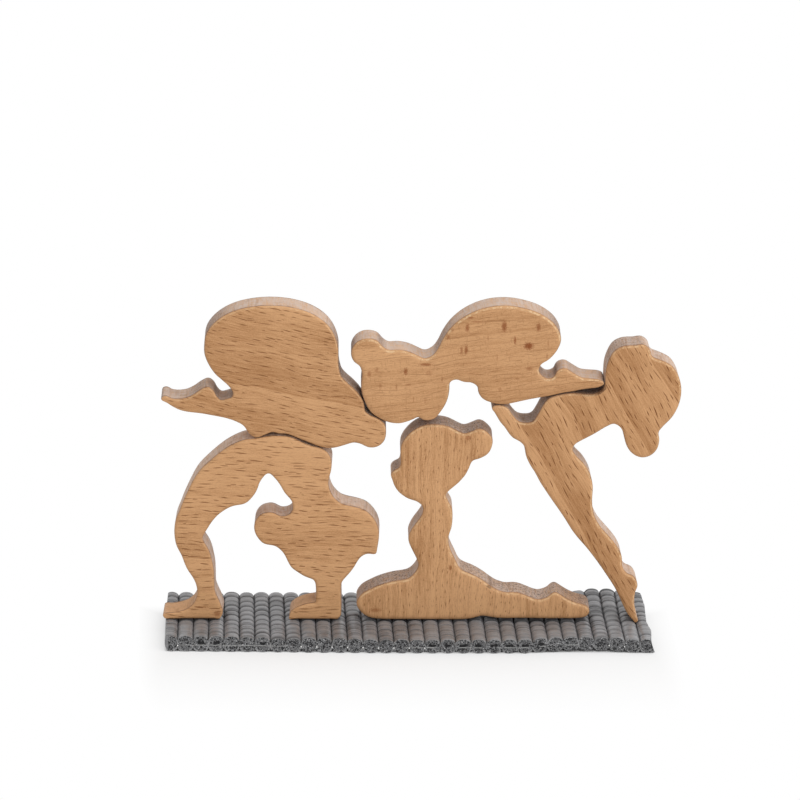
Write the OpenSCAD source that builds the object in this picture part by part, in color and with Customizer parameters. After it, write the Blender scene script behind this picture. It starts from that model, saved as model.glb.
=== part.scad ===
// Balance game: five flat wooden figures stacked on a ribbed foam mat.
// Frame: origin on the table, under the cord beside the middle of the mat, and half way along it.
// +X runs to the right across the cords, +Z up, and the figures' fronts face -Y.

/* [Figures] */
// Thickness of the board the figures are sawn from
wood_t = 15; // [12:0.5:20]
// Radius of the rounded edges round both faces
edge_r = 1.2; // [0.6:0.1:1.6]
// Gap left between neighbouring figures and between a figure and the mat
figure_gap = 0.3; // [0.25:0.05:0.6]

/* [Mat] */
// Depth of the mat, along its cords
mat_d = 60; // [44:2:90]
// Width of the mat, across its cords
mat_w = 190; // [186:1:214]
// Thickness of the mat over the cord crests
mat_t = 5.9; // [5.6:0.1:8]

/* [Net] */
// Diameter of the threads of the net inside the foam
thread_d = 0.7; // [0.5:0.05:0.9]
// Distance between the cross threads
weft_step = 6; // [4:0.5:10]

/* [View] */
// Piece to draw

/* [Hidden] */
cord = 6;                          // spacing of the cords
cord_r = 0.6 * cord;               // roundness of a cord's top and underside
cord_flat = 0.39 * cord;           // width that each cord lies on
toe_x = 90;                        // the standing toe dips into a groove here
drawn_t = 5.9;                     // mat thickness that the outlines are drawn on
extra = (figure_gap - 0.3) / 2;    // each outline draws in by half of a wider gap
warp_z = 0.37 * mat_t;             // height of the lengthwise threads
weft_z = warp_z + 0.85 * thread_d; // cross threads lie on them and are bonded to them
thread_play = 0.05;                // room round a thread in the foam
side_room = 1;                     // a groove nearer than this to the mat's side has no thread
grooves = [for (k = [ceil((side_room - mat_w / 2 - toe_x) / cord)
                     : floor((mat_w / 2 - side_room - toe_x) / cord)]) toe_x + k * cord];
origin_x = toe_x - (round(toe_x / cord) - 0.5) * cord; // under the cord beside the mat's middle
arc_step = 10;                     // degrees of turn between points on an outline
round_n = 3;                       // steps in a rounded edge

// Outlines, clockwise as seen from the front: [x, z], with a third number 1 at a sharp corner.

bridge_pts = [
  [-94.6, 6.1, 1], [-95.1, 7.4], [-92.2, 8], [-88.9, 8.7], [-86, 9.9], [-83.6, 12.2], [-82.4, 15.5],
  [-82.9, 20], [-85.2, 25.2], [-88.2, 31.6], [-90.6, 37], [-91.5, 41.5], [-91, 46.4], [-88.3, 55],
  [-83.2, 64.6], [-78, 70], [-71.8, 75.2], [-65.8, 78.4], [-60, 79.7], [-54, 80.6], [-50, 80.6],
  [-46, 79.9], [-42, 78.1], [-38, 76.6], [-34.8, 75.8], [-32.4, 74], [-30.8, 70.6], [-31, 66.5],
  [-31.9, 62], [-31, 58], [-27.1, 53.4], [-21.5, 51.8], [-16.5, 50], [-13.7, 47], [-12, 42.4],
  [-12.2, 37], [-12.9, 33.5, 1], [-16.6, 33.2], [-18.9, 31.6], [-21.2, 27.9], [-23.4, 24.8],
  [-26, 21.5], [-26.4, 14], [-26.7, 8.6], [-28, 6.1, 1], [-46.4, 6.1, 1], [-45.9, 8.4], [-43, 10.7],
  [-39.4, 12], [-35.9, 12.6, 1], [-35.7, 18], [-36.6, 22], [-40, 23.6], [-45, 27.2], [-48.6, 33.2],
  [-51.4, 36.2], [-57, 38.4], [-60.1, 43.4], [-58.3, 48], [-54, 49.4], [-49.6, 47.8], [-46, 49.2],
  [-45.3, 53.4], [-48.4, 57.8], [-52, 63.4], [-55.1, 65.7], [-57.9, 63.2], [-60.3, 57.7],
  [-63.8, 54], [-69.4, 52.2], [-75, 48.4], [-79, 42.8], [-80.7, 39.2], [-78.8, 34.6], [-77, 27],
  [-76, 17], [-73.6, 12], [-72.7, 8], [-73.6, 6.1, 1]];

curled_pts = [
  [-96.6, 96], [-95.6, 96.4], [-93, 95.4], [-90, 95.2], [-87, 95.7], [-84, 97.2], [-81, 99.3],
  [-78.8, 100.1], [-77, 98.9], [-75.6, 96.5], [-73.9, 94.9], [-71.4, 95.3], [-69.2, 96.4],
  [-68.9, 98.2], [-70.6, 100.9], [-75.6, 105.5], [-79, 110.8], [-80.4, 116], [-79, 122.4],
  [-75.8, 126.4], [-70, 130.1], [-62, 132.3], [-53, 132.8], [-44, 131.5], [-36, 127.9],
  [-31, 123], [-28.7, 116.3], [-28.5, 109.5], [-27.2, 104.5], [-23, 100.3], [-19.7, 96.6],
  [-18, 93.4], [-17.2, 90.8], [-15.6, 89.2], [-12.2, 87.6], [-10.3, 85.6], [-9.7, 82.4],
  [-10.6, 78.7], [-13.2, 76.7], [-16.4, 76.6], [-19, 77.8], [-21.8, 78.4], [-25.2, 77.5],
  [-30, 76.2], [-34.8, 76.3], [-38.4, 77.2], [-42, 78.7], [-45, 80.3], [-48, 81.5], [-51, 81.2],
  [-54, 82], [-57, 80.9], [-60, 80], [-62.4, 81.6], [-64.6, 84.8], [-69, 87.2], [-76, 88.9],
  [-84, 90], [-90, 91.4], [-94.2, 93.9]];

resting_pts = [
  [-23.5, 114.8], [-22.4, 117.2], [-19.6, 119.3], [-16.6, 119.8], [-13.6, 119], [-11.4, 116.7],
  [-9.4, 115.4], [-5.4, 115.4], [-1.4, 114.7], [1.8, 113.3], [5.4, 112], [8.4, 113.4],
  [10.6, 116.4], [12.4, 120.2], [15.6, 124.8], [20.6, 129], [27.4, 132.1], [35.8, 133.3],
  [44, 132.1], [51.2, 129.2], [55.8, 125.1], [57.6, 120.2], [56.2, 115.9], [53.2, 112.3],
  [49.9, 109.8], [49.3, 107.6], [50.6, 105.4], [53.3, 104.1], [55.6, 105], [57, 107.4],
  [59.2, 108.3], [62.2, 106.9], [66, 104.7], [70.4, 104.2], [73.6, 103.7], [74.8, 102.8],
  [73.4, 101.6], [68.8, 100.7], [62, 99.4], [54, 97.7], [46, 96.2], [39.5, 94.7], [34.6, 93.9],
  [31, 94.9], [27.8, 96.6], [26.5, 98.6], [25.9, 101.2], [24, 102.6], [20.4, 103.1], [17.4, 104],
  [15.1, 103], [14.6, 99.6], [13.8, 95.4], [11.4, 90.9], [8.4, 87.6], [6, 86.9], [3, 88.7],
  [0.4, 87.7], [-4, 86.3], [-8.6, 86.7], [-11.7, 87.8], [-14.6, 89.9], [-17, 93.2], [-18.6, 97.2],
  [-19.2, 101.4], [-18.9, 106], [-19.7, 108.9], [-22.3, 111.1]];

seated_pts = [
  [-3.6, 73], [-3.2, 77], [-1.4, 80.2], [1.8, 83.3], [5.4, 85], [10, 85.4], [14.8, 84.6],
  [18.2, 82.9], [21.2, 81.8], [24, 82.7], [27.2, 83.8], [30.2, 82], [32, 79.4], [31.8, 76.8],
  [30.2, 74], [27.2, 72.2], [24.2, 71], [22.9, 68.2], [21.4, 65.2], [18.6, 62], [15, 58.9],
  [13.9, 57.4], [14.8, 54.6], [16.4, 52], [17.1, 48], [17, 43.5], [16, 39.6], [16.3, 35.6],
  [18, 31.2], [20.4, 26.6], [24.8, 24.5], [29.8, 21.6], [34.4, 18.4], [38.2, 17.2], [42.8, 17.4],
  [47, 16.2], [51.4, 14.8], [54.8, 15.6], [57.8, 17.5], [60, 16.3], [63.4, 14.1], [67.4, 12.5],
  [70.2, 11.4], [71, 9.6], [70, 7.8], [67, 7], [60, 6.8], [46, 6.9], [34, 7.1], [29, 7.8],
  [25.6, 6.7], [22, 6.1, 1], [-10, 6.1, 1], [-14.4, 6.8], [-17.8, 9], [-19.7, 12.8], [-18.4, 15.6],
  [-14.6, 18.4], [-9.5, 20.8], [-4.4, 22], [0.2, 22.8], [3.1, 25.4], [4.3, 28.3], [3.2, 31.8],
  [1.2, 35.8], [0.2, 39], [1.4, 42.8], [4, 46.6], [5.6, 49.4], [5.7, 52], [3.8, 54.1],
  [-0.5, 55.8], [-4, 58.4], [-6.6, 63], [-7.3, 65.8], [-6.4, 66.8], [-4.4, 68], [-3.7, 70]];

toe_stand_pts = [
  [31.5, 92.8], [32.6, 93.4], [35.2, 93.5], [37.2, 92.6], [39.4, 89.5], [42, 86.9], [45, 86.3],
  [47.8, 86.9], [49.6, 89.4], [51.4, 92.9], [53.6, 96], [56.4, 97.3], [60.4, 98.2], [66, 98.2],
  [70.4, 98], [73.4, 99], [75.3, 101.2], [75.7, 104.4], [75.9, 108], [77.2, 112.6], [79.2, 115.8],
  [82.4, 117.4], [86.4, 117.7], [90.3, 117.9], [92.1, 116.4], [93.1, 113.6], [97, 111.7],
  [101.1, 109.5], [103.5, 105.9], [104.9, 100.4], [104.2, 94.5], [101.3, 88.7], [98.2, 85.4],
  [96.6, 83], [96.9, 79.8], [96, 76], [93.4, 73.5], [90, 72.9], [87, 74.1], [84.9, 77], [83.8, 80.4],
  [83.2, 83], [81.6, 85.4], [79.2, 86.5], [76.6, 85.6], [70.6, 82], [66.8, 79.8], [64, 77.8],
  [63.1, 75.8], [64.4, 73.3], [67.4, 70.2], [70.2, 65.6], [71.4, 60.6], [71.3, 55.4], [72, 50.4],
  [74.2, 45.8], [78.4, 40.8], [81.8, 36.2], [83.4, 31.6], [84, 27.6], [85.4, 25.4], [88.6, 23.8],
  [90.1, 20.6], [89.1, 17.4], [88.9, 13], [89.8, 8.2], [90.6, 5.6], [90.1, 5.1], [88.6, 6.4],
  [86.5, 9.3], [82.7, 17.3], [77.4, 25.9], [70.8, 35.2], [64.7, 42.4], [60.9, 48.3], [54.3, 57.9],
  [48.6, 66.9], [45.4, 73.8], [44.8, 77], [43, 79], [40.3, 80.5], [36.2, 85], [32.6, 91]];

// Smooth closed curve through the points: each point takes the direction of the circle
// through it and its neighbours, and each span is a cubic that would draw an arc as an arc.

function unit(v) = v / norm(v);
function at(p, i) = [p[(i + len(p)) % len(p)][0], p[(i + len(p)) % len(p)][1]];
function span_at(p, i) = at(p, i + 1) - at(p, i);
function heading(p, i, leaving) =
  let (a = span_at(p, i - 1), b = span_at(p, i))
  len(p[i % len(p)]) > 2 ? unit(leaving ? b : a)
    : unit(unit(a) * norm(b) + unit(b) * norm(a));
function bend(u, v) = acos(max(-1, min(1, u * v)));

function curve(p) = [for (i = [0 : len(p) - 1])
  let (d = span_at(p, i), t0 = heading(p, i, true), t1 = heading(p, i + 1, false),
       turn = bend(t0, unit(d)) + bend(t1, unit(d)),
       h = norm(d) * (2 / 3) / (1 + cos(turn / 2)),
       m = max(1, min(6, ceil(turn / arc_step))),
       a = at(p, i), b = a + t0 * h, e = at(p, i + 1), c = e - t1 * h)
  for (k = [0 : m - 1])
    let (u = k / m, w = 1 - u)
    a * pow(w, 3) + b * 3 * w * w * u + c * 3 * w * u * u + e * pow(u, 3)];

// Inward direction at each point, and the radius of the largest circle inside that touches there.

function inward(q, i) =
  let (t = unit(unit(at(q, i + 1) - at(q, i)) + unit(at(q, i) - at(q, i - 1)))) [t[1], -t[0]];
function side(a, b, c) = (b[0] - a[0]) * (c[1] - a[1]) - (b[1] - a[1]) * (c[0] - a[0]);
function room(q, i) =
  let (m = inward(q, i))
  min([70, for (j = [0 : len(q) - 1]) let (v = q[j] - q[i]) if (v * m > 0.001) v * v / (2 * v * m)]);
function limited(q, r) =
  let (most = [for (i = [0 : len(q) - 1]) min(r, 0.7 * room(q, i))])
  [for (i = [0 : len(q) - 1]) min([for (j = [-2 : 2]) most[(i + j + len(q)) % len(q)] + 0.1 * abs(j)])];
function inset(q, d, share) = [for (i = [0 : len(q) - 1]) q[i] + inward(q, i) * d[i] * share];

// Cuts a face into triangles, one ear at a time.

function holds(a, b, c, p) = side(a, b, p) <= 0 && side(b, c, p) <= 0 && side(c, a, p) <= 0;
function is_ear(q, a, b, c, left) =
  side(q[a], q[b], q[c]) < -0.000001
  && len([for (j = left) if (j != a && j != b && j != c && holds(q[a], q[b], q[c], q[j])) j]) == 0;
function ears(q, left, k = 0, out = [], tries = 0) =
  len(left) == 3 ? concat(out, [left])
    : tries > len(left) ? out
    : let (n = len(left), i = k % n, a = left[(i + n - 1) % n], b = left[i], c = left[(i + 1) % n])
      is_ear(q, a, b, c, left)
        ? ears(q, [for (j = [0 : n - 1]) if (j != i) left[j]], i + 1, concat(out, [[a, b, c]]), 0)
        : ears(q, left, i + 1, out, tries + 1);

// One figure: the outline sawn from the board, with a quarter round along both faces.

module figure(points) {
  line = curve(points);
  n = len(line);
  edge = inset(line, [for (i = line) 1], extra);
  d = limited(edge, edge_r);
  levels = [for (k = [round_n : -1 : 0]) [k, -1], for (k = [0 : round_n]) [k, 1]];
  rings = [for (v = levels)
    let (f = 90 * v[0] / round_n, y = v[1] * (wood_t / 2 - edge_r * (1 - sin(f))))
    [for (c = inset(edge, d, 1 - cos(f))) [c[0], y, c[1]]]];
  caps = ears(inset(edge, d, 1), [for (i = [0 : n - 1]) i]);
  last = (len(levels) - 1) * n;
  faces = concat(
    [for (t = caps) t],
    [for (r = [0 : len(levels) - 2]) for (i = [0 : n - 1])
      let (a = r * n + i, b = r * n + (i + 1) % n)
      for (t = [[a, b + n, b], [a, a + n, b + n]]) t],
    [for (t = caps) [t[2] + last, t[1] + last, t[0] + last]]);
  translate([-origin_x, 0, mat_t - drawn_t])
    polyhedron([for (r = rings) for (c = r) c], faces);
}

// The mat: round-backed foam cords side by side, cut square, with a net of threads inside.

module cord_shape() {
  back_z = mat_t - cord_r;
  under_z = sqrt(pow(cord_r, 2) - pow(cord_flat / 2, 2));
  intersection() {
    union() {
      translate([0, back_z]) circle(cord_r, $fn = 64);
      translate([-cord_r, 0]) square([2 * cord_r, back_z]);
    }
    union() {
      translate([0, under_z]) circle(cord_r, $fn = 64);
      translate([-cord_r, under_z]) square([2 * cord_r, mat_t - under_z]);
    }
  }
}

module along_y(length) {
  translate([0, length / 2, 0]) rotate([90, 0, 0]) linear_extrude(length) children();
}

module threads(d) {
  for (x = grooves) translate([x, 0, warp_z]) along_y(mat_d) circle(d = d, $fn = 24);
}

module cross_threads(d) {
  rows = floor((mat_d - weft_step / 2) / weft_step);
  for (i = [0 : rows - 1])
    translate([-mat_w / 2, (i - (rows - 1) / 2) * weft_step, weft_z])
      rotate([90, 0, 90]) linear_extrude(mat_w) circle(d = d, $fn = 24);
}

module mat_foam() {
  color([0.27, 0.28, 0.29]) translate([-origin_x, 0, 0]) difference() {
    along_y(mat_d) intersection() {
      for (k = [floor((-mat_w / 2 - toe_x) / cord) : floor((mat_w / 2 - toe_x) / cord)])
        translate([toe_x + (k + 0.5) * cord, 0]) cord_shape();
      translate([-mat_w / 2, 0]) square([mat_w, mat_t]);
    }
    threads(thread_d + 2 * thread_play);
    cross_threads(thread_d + 2 * thread_play);
  }
}

module mat_net() {
  color([0.85, 0.85, 0.83]) translate([-origin_x, 0, 0]) {
    threads(thread_d);
    cross_threads(thread_d);
  }
}

module bridge_figure() { color([0.78, 0.6, 0.42]) figure(bridge_pts); }

module curled_figure() { color([0.75, 0.57, 0.39]) figure(curled_pts); }

module resting_figure() { color([0.79, 0.62, 0.43]) figure(resting_pts); }

module seated_figure() { color([0.77, 0.59, 0.4]) figure(seated_pts); }

module toe_stand_figure() { color([0.76, 0.58, 0.4]) figure(toe_stand_pts); }

mat_foam();
mat_net();
bridge_figure();
curled_figure();
resting_figure();
seated_figure();
toe_stand_figure();
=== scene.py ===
import math

import bmesh
import bpy
import numpy as np
from mathutils import Matrix, Vector
from mathutils.geometry import tessellate_polygon


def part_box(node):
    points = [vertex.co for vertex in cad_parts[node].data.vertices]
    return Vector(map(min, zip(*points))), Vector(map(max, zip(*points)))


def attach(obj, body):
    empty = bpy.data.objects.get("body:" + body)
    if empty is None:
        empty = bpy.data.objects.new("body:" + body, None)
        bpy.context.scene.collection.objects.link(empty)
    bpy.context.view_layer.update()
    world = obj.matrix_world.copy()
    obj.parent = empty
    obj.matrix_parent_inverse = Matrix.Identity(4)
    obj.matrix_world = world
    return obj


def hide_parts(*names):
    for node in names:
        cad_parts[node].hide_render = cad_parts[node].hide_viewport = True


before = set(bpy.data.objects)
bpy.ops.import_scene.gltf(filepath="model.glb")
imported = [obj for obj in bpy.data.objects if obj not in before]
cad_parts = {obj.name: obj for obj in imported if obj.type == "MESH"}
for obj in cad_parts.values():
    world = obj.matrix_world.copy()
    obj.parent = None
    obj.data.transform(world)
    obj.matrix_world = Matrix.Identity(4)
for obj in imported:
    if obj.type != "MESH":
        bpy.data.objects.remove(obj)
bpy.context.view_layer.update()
print("frame loaded:", ", ".join(sorted(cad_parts)))

mm = 0.001


# Small helpers for node trees

def feed(tree, slot, term):
    # A socket is linked, and a plain value is set on the slot itself.
    if isinstance(term, bpy.types.NodeSocket):
        tree.links.new(term, slot)
    else:
        slot.default_value = (*term, 1.0) if slot.type == "RGBA" else term


def treeOf(terms):
    return next(term.id_data for term in terms if isinstance(term, bpy.types.NodeSocket))


def addNode(tree, kind, sockets=None, **settings):
    node = tree.nodes.new(kind)
    for key, value in settings.items():
        setattr(node, key, value)
    for key, value in (sockets or {}).items():
        feed(tree, node.inputs[key], value)
    return node


def through(kind, terms, result=0, **settings):
    # One output of a new node that takes the terms in the order of its inputs.
    return addNode(treeOf(terms), kind, dict(enumerate(terms)), **settings).outputs[result]


def calc(operation, *terms):
    return through("ShaderNodeMath", terms, operation=operation)


def times(first, second):
    return calc("MULTIPLY", first, second)


def plus(first, second):
    return calc("ADD", first, second)


def minus(first, second):
    return calc("SUBTRACT", first, second)


def timesPlus(value, factor, rest):
    return calc("MULTIPLY_ADD", value, factor, rest)


def vectorCalc(operation, *terms):
    result = "Value" if operation in ("LENGTH", "DOT_PRODUCT") else "Vector"
    return through("ShaderNodeVectorMath", terms, result, operation=operation)


def vectorOf(x, y, z):
    return through("ShaderNodeCombineXYZ", (x, y, z))


def parts(vector):
    return addNode(vector.id_data, "ShaderNodeSeparateXYZ", {0: vector}).outputs


def ramp(value, low, high, start=0.0, end=1.0):
    return through("ShaderNodeMapRange", (value, low, high, start, end), interpolation_type="SMOOTHSTEP")


def noise(place, scale, detail, roughness=0.5, distortion=0.0):
    return addNode(place.id_data, "ShaderNodeTexNoise", {
        "Vector": place, "Scale": scale, "Detail": detail, "Roughness": roughness,
        "Distortion": distortion}).outputs[0]


def mixColour(share, first, second):
    # Sockets 6 and 7 are the two colours of a mix node.
    sockets = {0: share, 6: first, 7: second}
    return addNode(share.id_data, "ShaderNodeMix", sockets, data_type="RGBA").outputs[2]


def painted(tree, name):
    # A value that the mesh carries at each of its points.
    return addNode(tree, "ShaderNodeAttribute", attribute_name=name).outputs["Fac"]


def layOut(tree):
    # Each node stands in a column to the left of all that it feeds.
    pairs = [(link.from_node.name, link.to_node.name) for link in tree.links]
    column = dict.fromkeys([node.name for node in tree.nodes], 0)
    for _ in pairs:
        for source, target in pairs:
            column[source] = max(column[source], column[target] + 1)
    filled = dict.fromkeys(column.values(), 0)
    for node in tree.nodes:
        at = column[node.name]
        node.location = (-200 * at, -260 * filled[at])
        filled[at] += 1


def newGroup(name, inputs, outputs):
    # An input without a usual value is a vector. The other inputs and all outputs are numbers.
    tree = bpy.data.node_groups.new(name, "ShaderNodeTree")
    for label, value in inputs.items():
        kind = "NodeSocketVector" if value is None else "NodeSocketFloat"
        socket = tree.interface.new_socket(label, in_out="INPUT", socket_type=kind)
        if value is not None:
            socket.default_value = value
    for label in outputs:
        tree.interface.new_socket(label, in_out="OUTPUT", socket_type="NodeSocketFloat")
    return tree, tree.nodes.new("NodeGroupInput").outputs


def closeGroup(tree, results):
    addNode(tree, "NodeGroupOutput", results)
    layOut(tree)
    return tree


def placeGroup(group, sockets):
    return addNode(treeOf(sockets.values()), "ShaderNodeGroup", sockets, node_tree=group).outputs


def emptyTree(owner):
    owner.use_nodes = True
    owner.node_tree.nodes.clear()
    return owner.node_tree


def newMaterial(name):
    # The place that it gives with the shader is in millimetres.
    material = bpy.data.materials.new(name)
    tree = emptyTree(material)
    shader = addNode(tree, "ShaderNodeBsdfPrincipled")
    addNode(tree, "ShaderNodeOutputMaterial", {"Surface": shader.outputs[0]})
    spot = addNode(tree, "ShaderNodeTexCoord").outputs["Object"]
    place = addNode(tree, "ShaderNodeVectorMath", {"Vector": spot, "Scale": 1 / mm}, operation="SCALE")
    return material, shader, place.outputs[0]


def dress(shader, sockets, height=None, strength=0.0, depth=0.0):
    tree = shader.id_data
    if height:
        sockets["Normal"] = addNode(tree, "ShaderNodeBump", {
            "Height": height, "Strength": strength, "Distance": depth}).outputs[0]
    for key, value in sockets.items():
        feed(tree, shader.inputs[key], value)
    layOut(tree)


# Small helpers for meshes

def faceOutward(mesh):
    # Faces are turned outward, with a crease where two materials meet.
    work = bmesh.new()
    work.from_mesh(mesh)
    bmesh.ops.recalc_face_normals(work, faces=work.faces)
    for edge in work.edges:
        if len({face.material_index for face in edge.link_faces}) > 1:
            edge.smooth = False
    work.to_mesh(mesh)
    work.free()


def newPiece(name, mesh, *materials):
    piece = bpy.data.objects.new(name, mesh)
    bpy.context.scene.collection.objects.link(piece)
    for material in materials:
        mesh.materials.append(material)
    return piece


# Effects that more than one material uses. All lengths in them are millimetres.

def rayFleckGroup():
    # Beech rays end on the board's face as short spindles that run with the fibres.
    tree, given = newGroup("Ray flecks", {
        "Board": None, "Step Along": 6.0, "Step Across": 2.2, "Half Length": 1.8, "Half Width": 0.22,
        "Amount": 0.7}, ["Mask"])
    cell = vectorOf(given["Step Along"], 14.0, given["Step Across"])
    scaled = vectorCalc("DIVIDE", given["Board"], cell)
    spots = addNode(tree, "ShaderNodeTexVoronoi", {"Vector": scaled, "Scale": 1.0}).outputs
    away = parts(vectorCalc("MULTIPLY", vectorCalc("SUBTRACT", scaled, spots["Position"]), cell))
    chance = addNode(tree, "ShaderNodeSeparateColor", {0: spots["Color"]}).outputs
    tilt = times(minus(chance[0], 0.5), 0.16)
    across = plus(away["Z"], times(away["X"], tilt))
    reach = times(given["Half Length"], timesPlus(chance[1], 0.9, 0.45))
    along = calc("POWER", calc("DIVIDE", away["X"], reach), 2.0)
    wide = calc("ABSOLUTE", calc("DIVIDE", across, given["Half Width"]))
    core = ramp(plus(along, wide), 0.55, 1.0, 1.0, 0.0)
    tail = ramp(plus(times(along, 0.2), times(wide, 0.8)), 0.1, 1.0, 0.3, 0.0)
    weight = times(calc("LESS_THAN", chance[2], given["Amount"]), timesPlus(chance[0], 0.35, 0.65))
    return closeGroup(tree, {"Mask": times(calc("MAXIMUM", core, tail), weight)})


def grainGroup():
    # Long fine fibres and broad yearly bands, as values round zero.
    tree, given = newGroup("Wood grain", {
        "Board": None, "Fibre Length": 14.0, "Fibre Width": 0.3, "Band Width": 7.0}, ["Fibres", "Bands"])
    thin = vectorOf(given["Fibre Length"], 3.0, given["Fibre Width"])
    broad = vectorOf(90.0, 40.0, given["Band Width"])
    fibres = noise(vectorCalc("DIVIDE", given["Board"], thin), 1.0, 3.0, 0.6)
    bands = noise(vectorCalc("DIVIDE", given["Board"], broad), 1.0, 2.0, 0.5, 0.3)
    return closeGroup(tree, {"Fibres": minus(fibres, 0.5), "Bands": minus(bands, 0.5)})


def edgeGroup():
    # The sanded round along a sawn edge, a painted highlight on the part of the round that faces the light,
    # and the scorch and saw marks on the side behind it.
    tree, given = newGroup("Sanded edge", {
        "Place": None, "Normal": None, "Half Thickness": 7.5, "Radius": 1.3},
        ["Line", "Round", "Scorch", "Side", "Sawn"])
    place, normal = given["Place"], given["Normal"]
    facing = calc("ABSOLUTE", parts(normal)["Y"])
    lit = vectorCalc("DOT_PRODUCT", normal, (0.35, 0.0, 0.95))
    patchy = noise(place, 0.28, 3.0, 0.65)
    # Painted highlight: a pale line on the round, strongest where it faces up toward the light.
    line = times(ramp(facing, 0.6, 0.8), ramp(facing, 0.9, 0.97, 1.0, 0.0))
    line = times(line, ramp(lit, 0.0, 0.2, 0.12, 1.0))
    line = times(line, ramp(noise(place, 0.9, 2.0, 0.7), 0.42, 0.6, 0.15, 1.0))
    rounded = times(ramp(facing, 0.04, 0.3), ramp(facing, 0.93, 0.98, 1.0, 0.0))
    depth = minus(calc("ABSOLUTE", parts(place)["Y"]), minus(given["Half Thickness"], given["Radius"]))
    seam = times(ramp(depth, -0.8, -0.15), ramp(depth, 0.0, 0.5, 1.0, 0.0))
    seam = times(seam, ramp(patchy, 0.36, 0.6, 0.35, 1.0))
    side = ramp(facing, 0.05, 0.5, 1.0, 0.0)
    burn = times(side, ramp(patchy, 0.6, 0.74, 0.0, 0.45))
    upright = noise(vectorCalc("DIVIDE", place, (0.7, 9.0, 0.7)), 1.0, 3.0, 0.6)
    streaks = noise(vectorCalc("DIVIDE", place, (5.0, 1.1, 5.0)), 1.0, 3.0, 0.65)
    sawn = minus(times(plus(upright, streaks), 0.5), 0.5)
    return closeGroup(tree, {"Line": line, "Round": rounded, "Scorch": calc("MAXIMUM", burn, seam),
                             "Side": side, "Sawn": times(side, sawn)})


def endGrainGroup():
    # Where a side cuts across the fibres it is dark and full of fine pores.
    tree, given = newGroup("End grain", {"Place": None, "Normal": None, "Fibre": None}, ["End", "Pores"])
    end = ramp(calc("ABSOLUTE", vectorCalc("DOT_PRODUCT", given["Normal"], given["Fibre"])), 0.45, 0.95)
    pores = ramp(noise(given["Place"], 1.4, 2.0, 0.6), 0.5, 0.64)
    return closeGroup(tree, {"End": end, "Pores": times(end, pores)})


def driftGroup():
    # Slow change of tone over a surface, with a little fine dust in it.
    tree, given = newGroup("Tone drift", {"Place": None, "Size": 20.0, "Grain": 0.5}, ["Drift", "Dust"])
    slow = noise(given["Place"], calc("DIVIDE", 1.0, given["Size"]), 2.0)
    fine = noise(given["Place"], calc("DIVIDE", 1.0, given["Grain"]), 3.0, 0.7)
    return closeGroup(tree, {"Drift": minus(slow, 0.5), "Dust": minus(fine, 0.5)})


def spotGroup():
    # A ragged round spot on the board, through its whole thickness.
    tree, given = newGroup("Ragged spot", {
        "Place": None, "Centre": None, "Scale": None, "Dust": 0.0, "Strength": 1.0}, ["Mask"])
    off = vectorCalc("MULTIPLY", vectorCalc("SUBTRACT", given["Place"], given["Centre"]), given["Scale"])
    ragged = timesPlus(given["Dust"], 1.6, vectorCalc("LENGTH", off))
    return closeGroup(tree, {"Mask": ramp(ragged, 0.3, 1.3, given["Strength"], 0.0)})


rayFlecks = rayFleckGroup()
woodGrain = grainGroup()
sandedEdge = edgeGroup()
endGrain = endGrainGroup()
toneDrift = driftGroup()
raggedSpot = spotGroup()
print("effects ready")


# Beech

beech = {
    "light": (0.635, 0.355, 0.172),
    "dark": (0.35, 0.162, 0.06),
    "fleck": (0.145, 0.045, 0.009),
    # Scorch colour, also used for the painted shade spots.
    "scorch": (0.085, 0.032, 0.012),
    # Colour of the painted highlight along the lit part of each sanded edge.
    "line": (0.74, 0.52, 0.30),
    "round": (0.5, 0.26, 0.115),
    # Paler greyish sides: partly the sawn side's own colour, partly a painted sheen of the bright room seen
    # at grazing angles.
    "sawnSideSheen": (0.56, 0.445, 0.375),
    "endTone": (0.27, 0.187, 0.148),
    "endShare": 0.6,
    "pore": (0.09, 0.06, 0.05),
    "stain": (0.25, 0.075, 0.02),
    "roughness": 0.5,
    "specular": 0.2,
    "waver": (0.0, 0.0, 3.0),      # how far the fibres bend, in mm
    "fibre": (6.0, 0.32),          # length and width of the fibres' pattern in mm
}

# Marks that all figures share. A kind of fleck is its step along and across, half its length and width in
# mm, and the share of the places that have one.
fleckSizes = {
    "specks": (2.1, 0.8, 0.75, 0.11, 0.8),
    "lines": (34, 3.4, 17, 0.14, 0.75),
    "ticks": (3.6, 2.6, 1.1, 0.2, 0.55),
}
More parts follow.
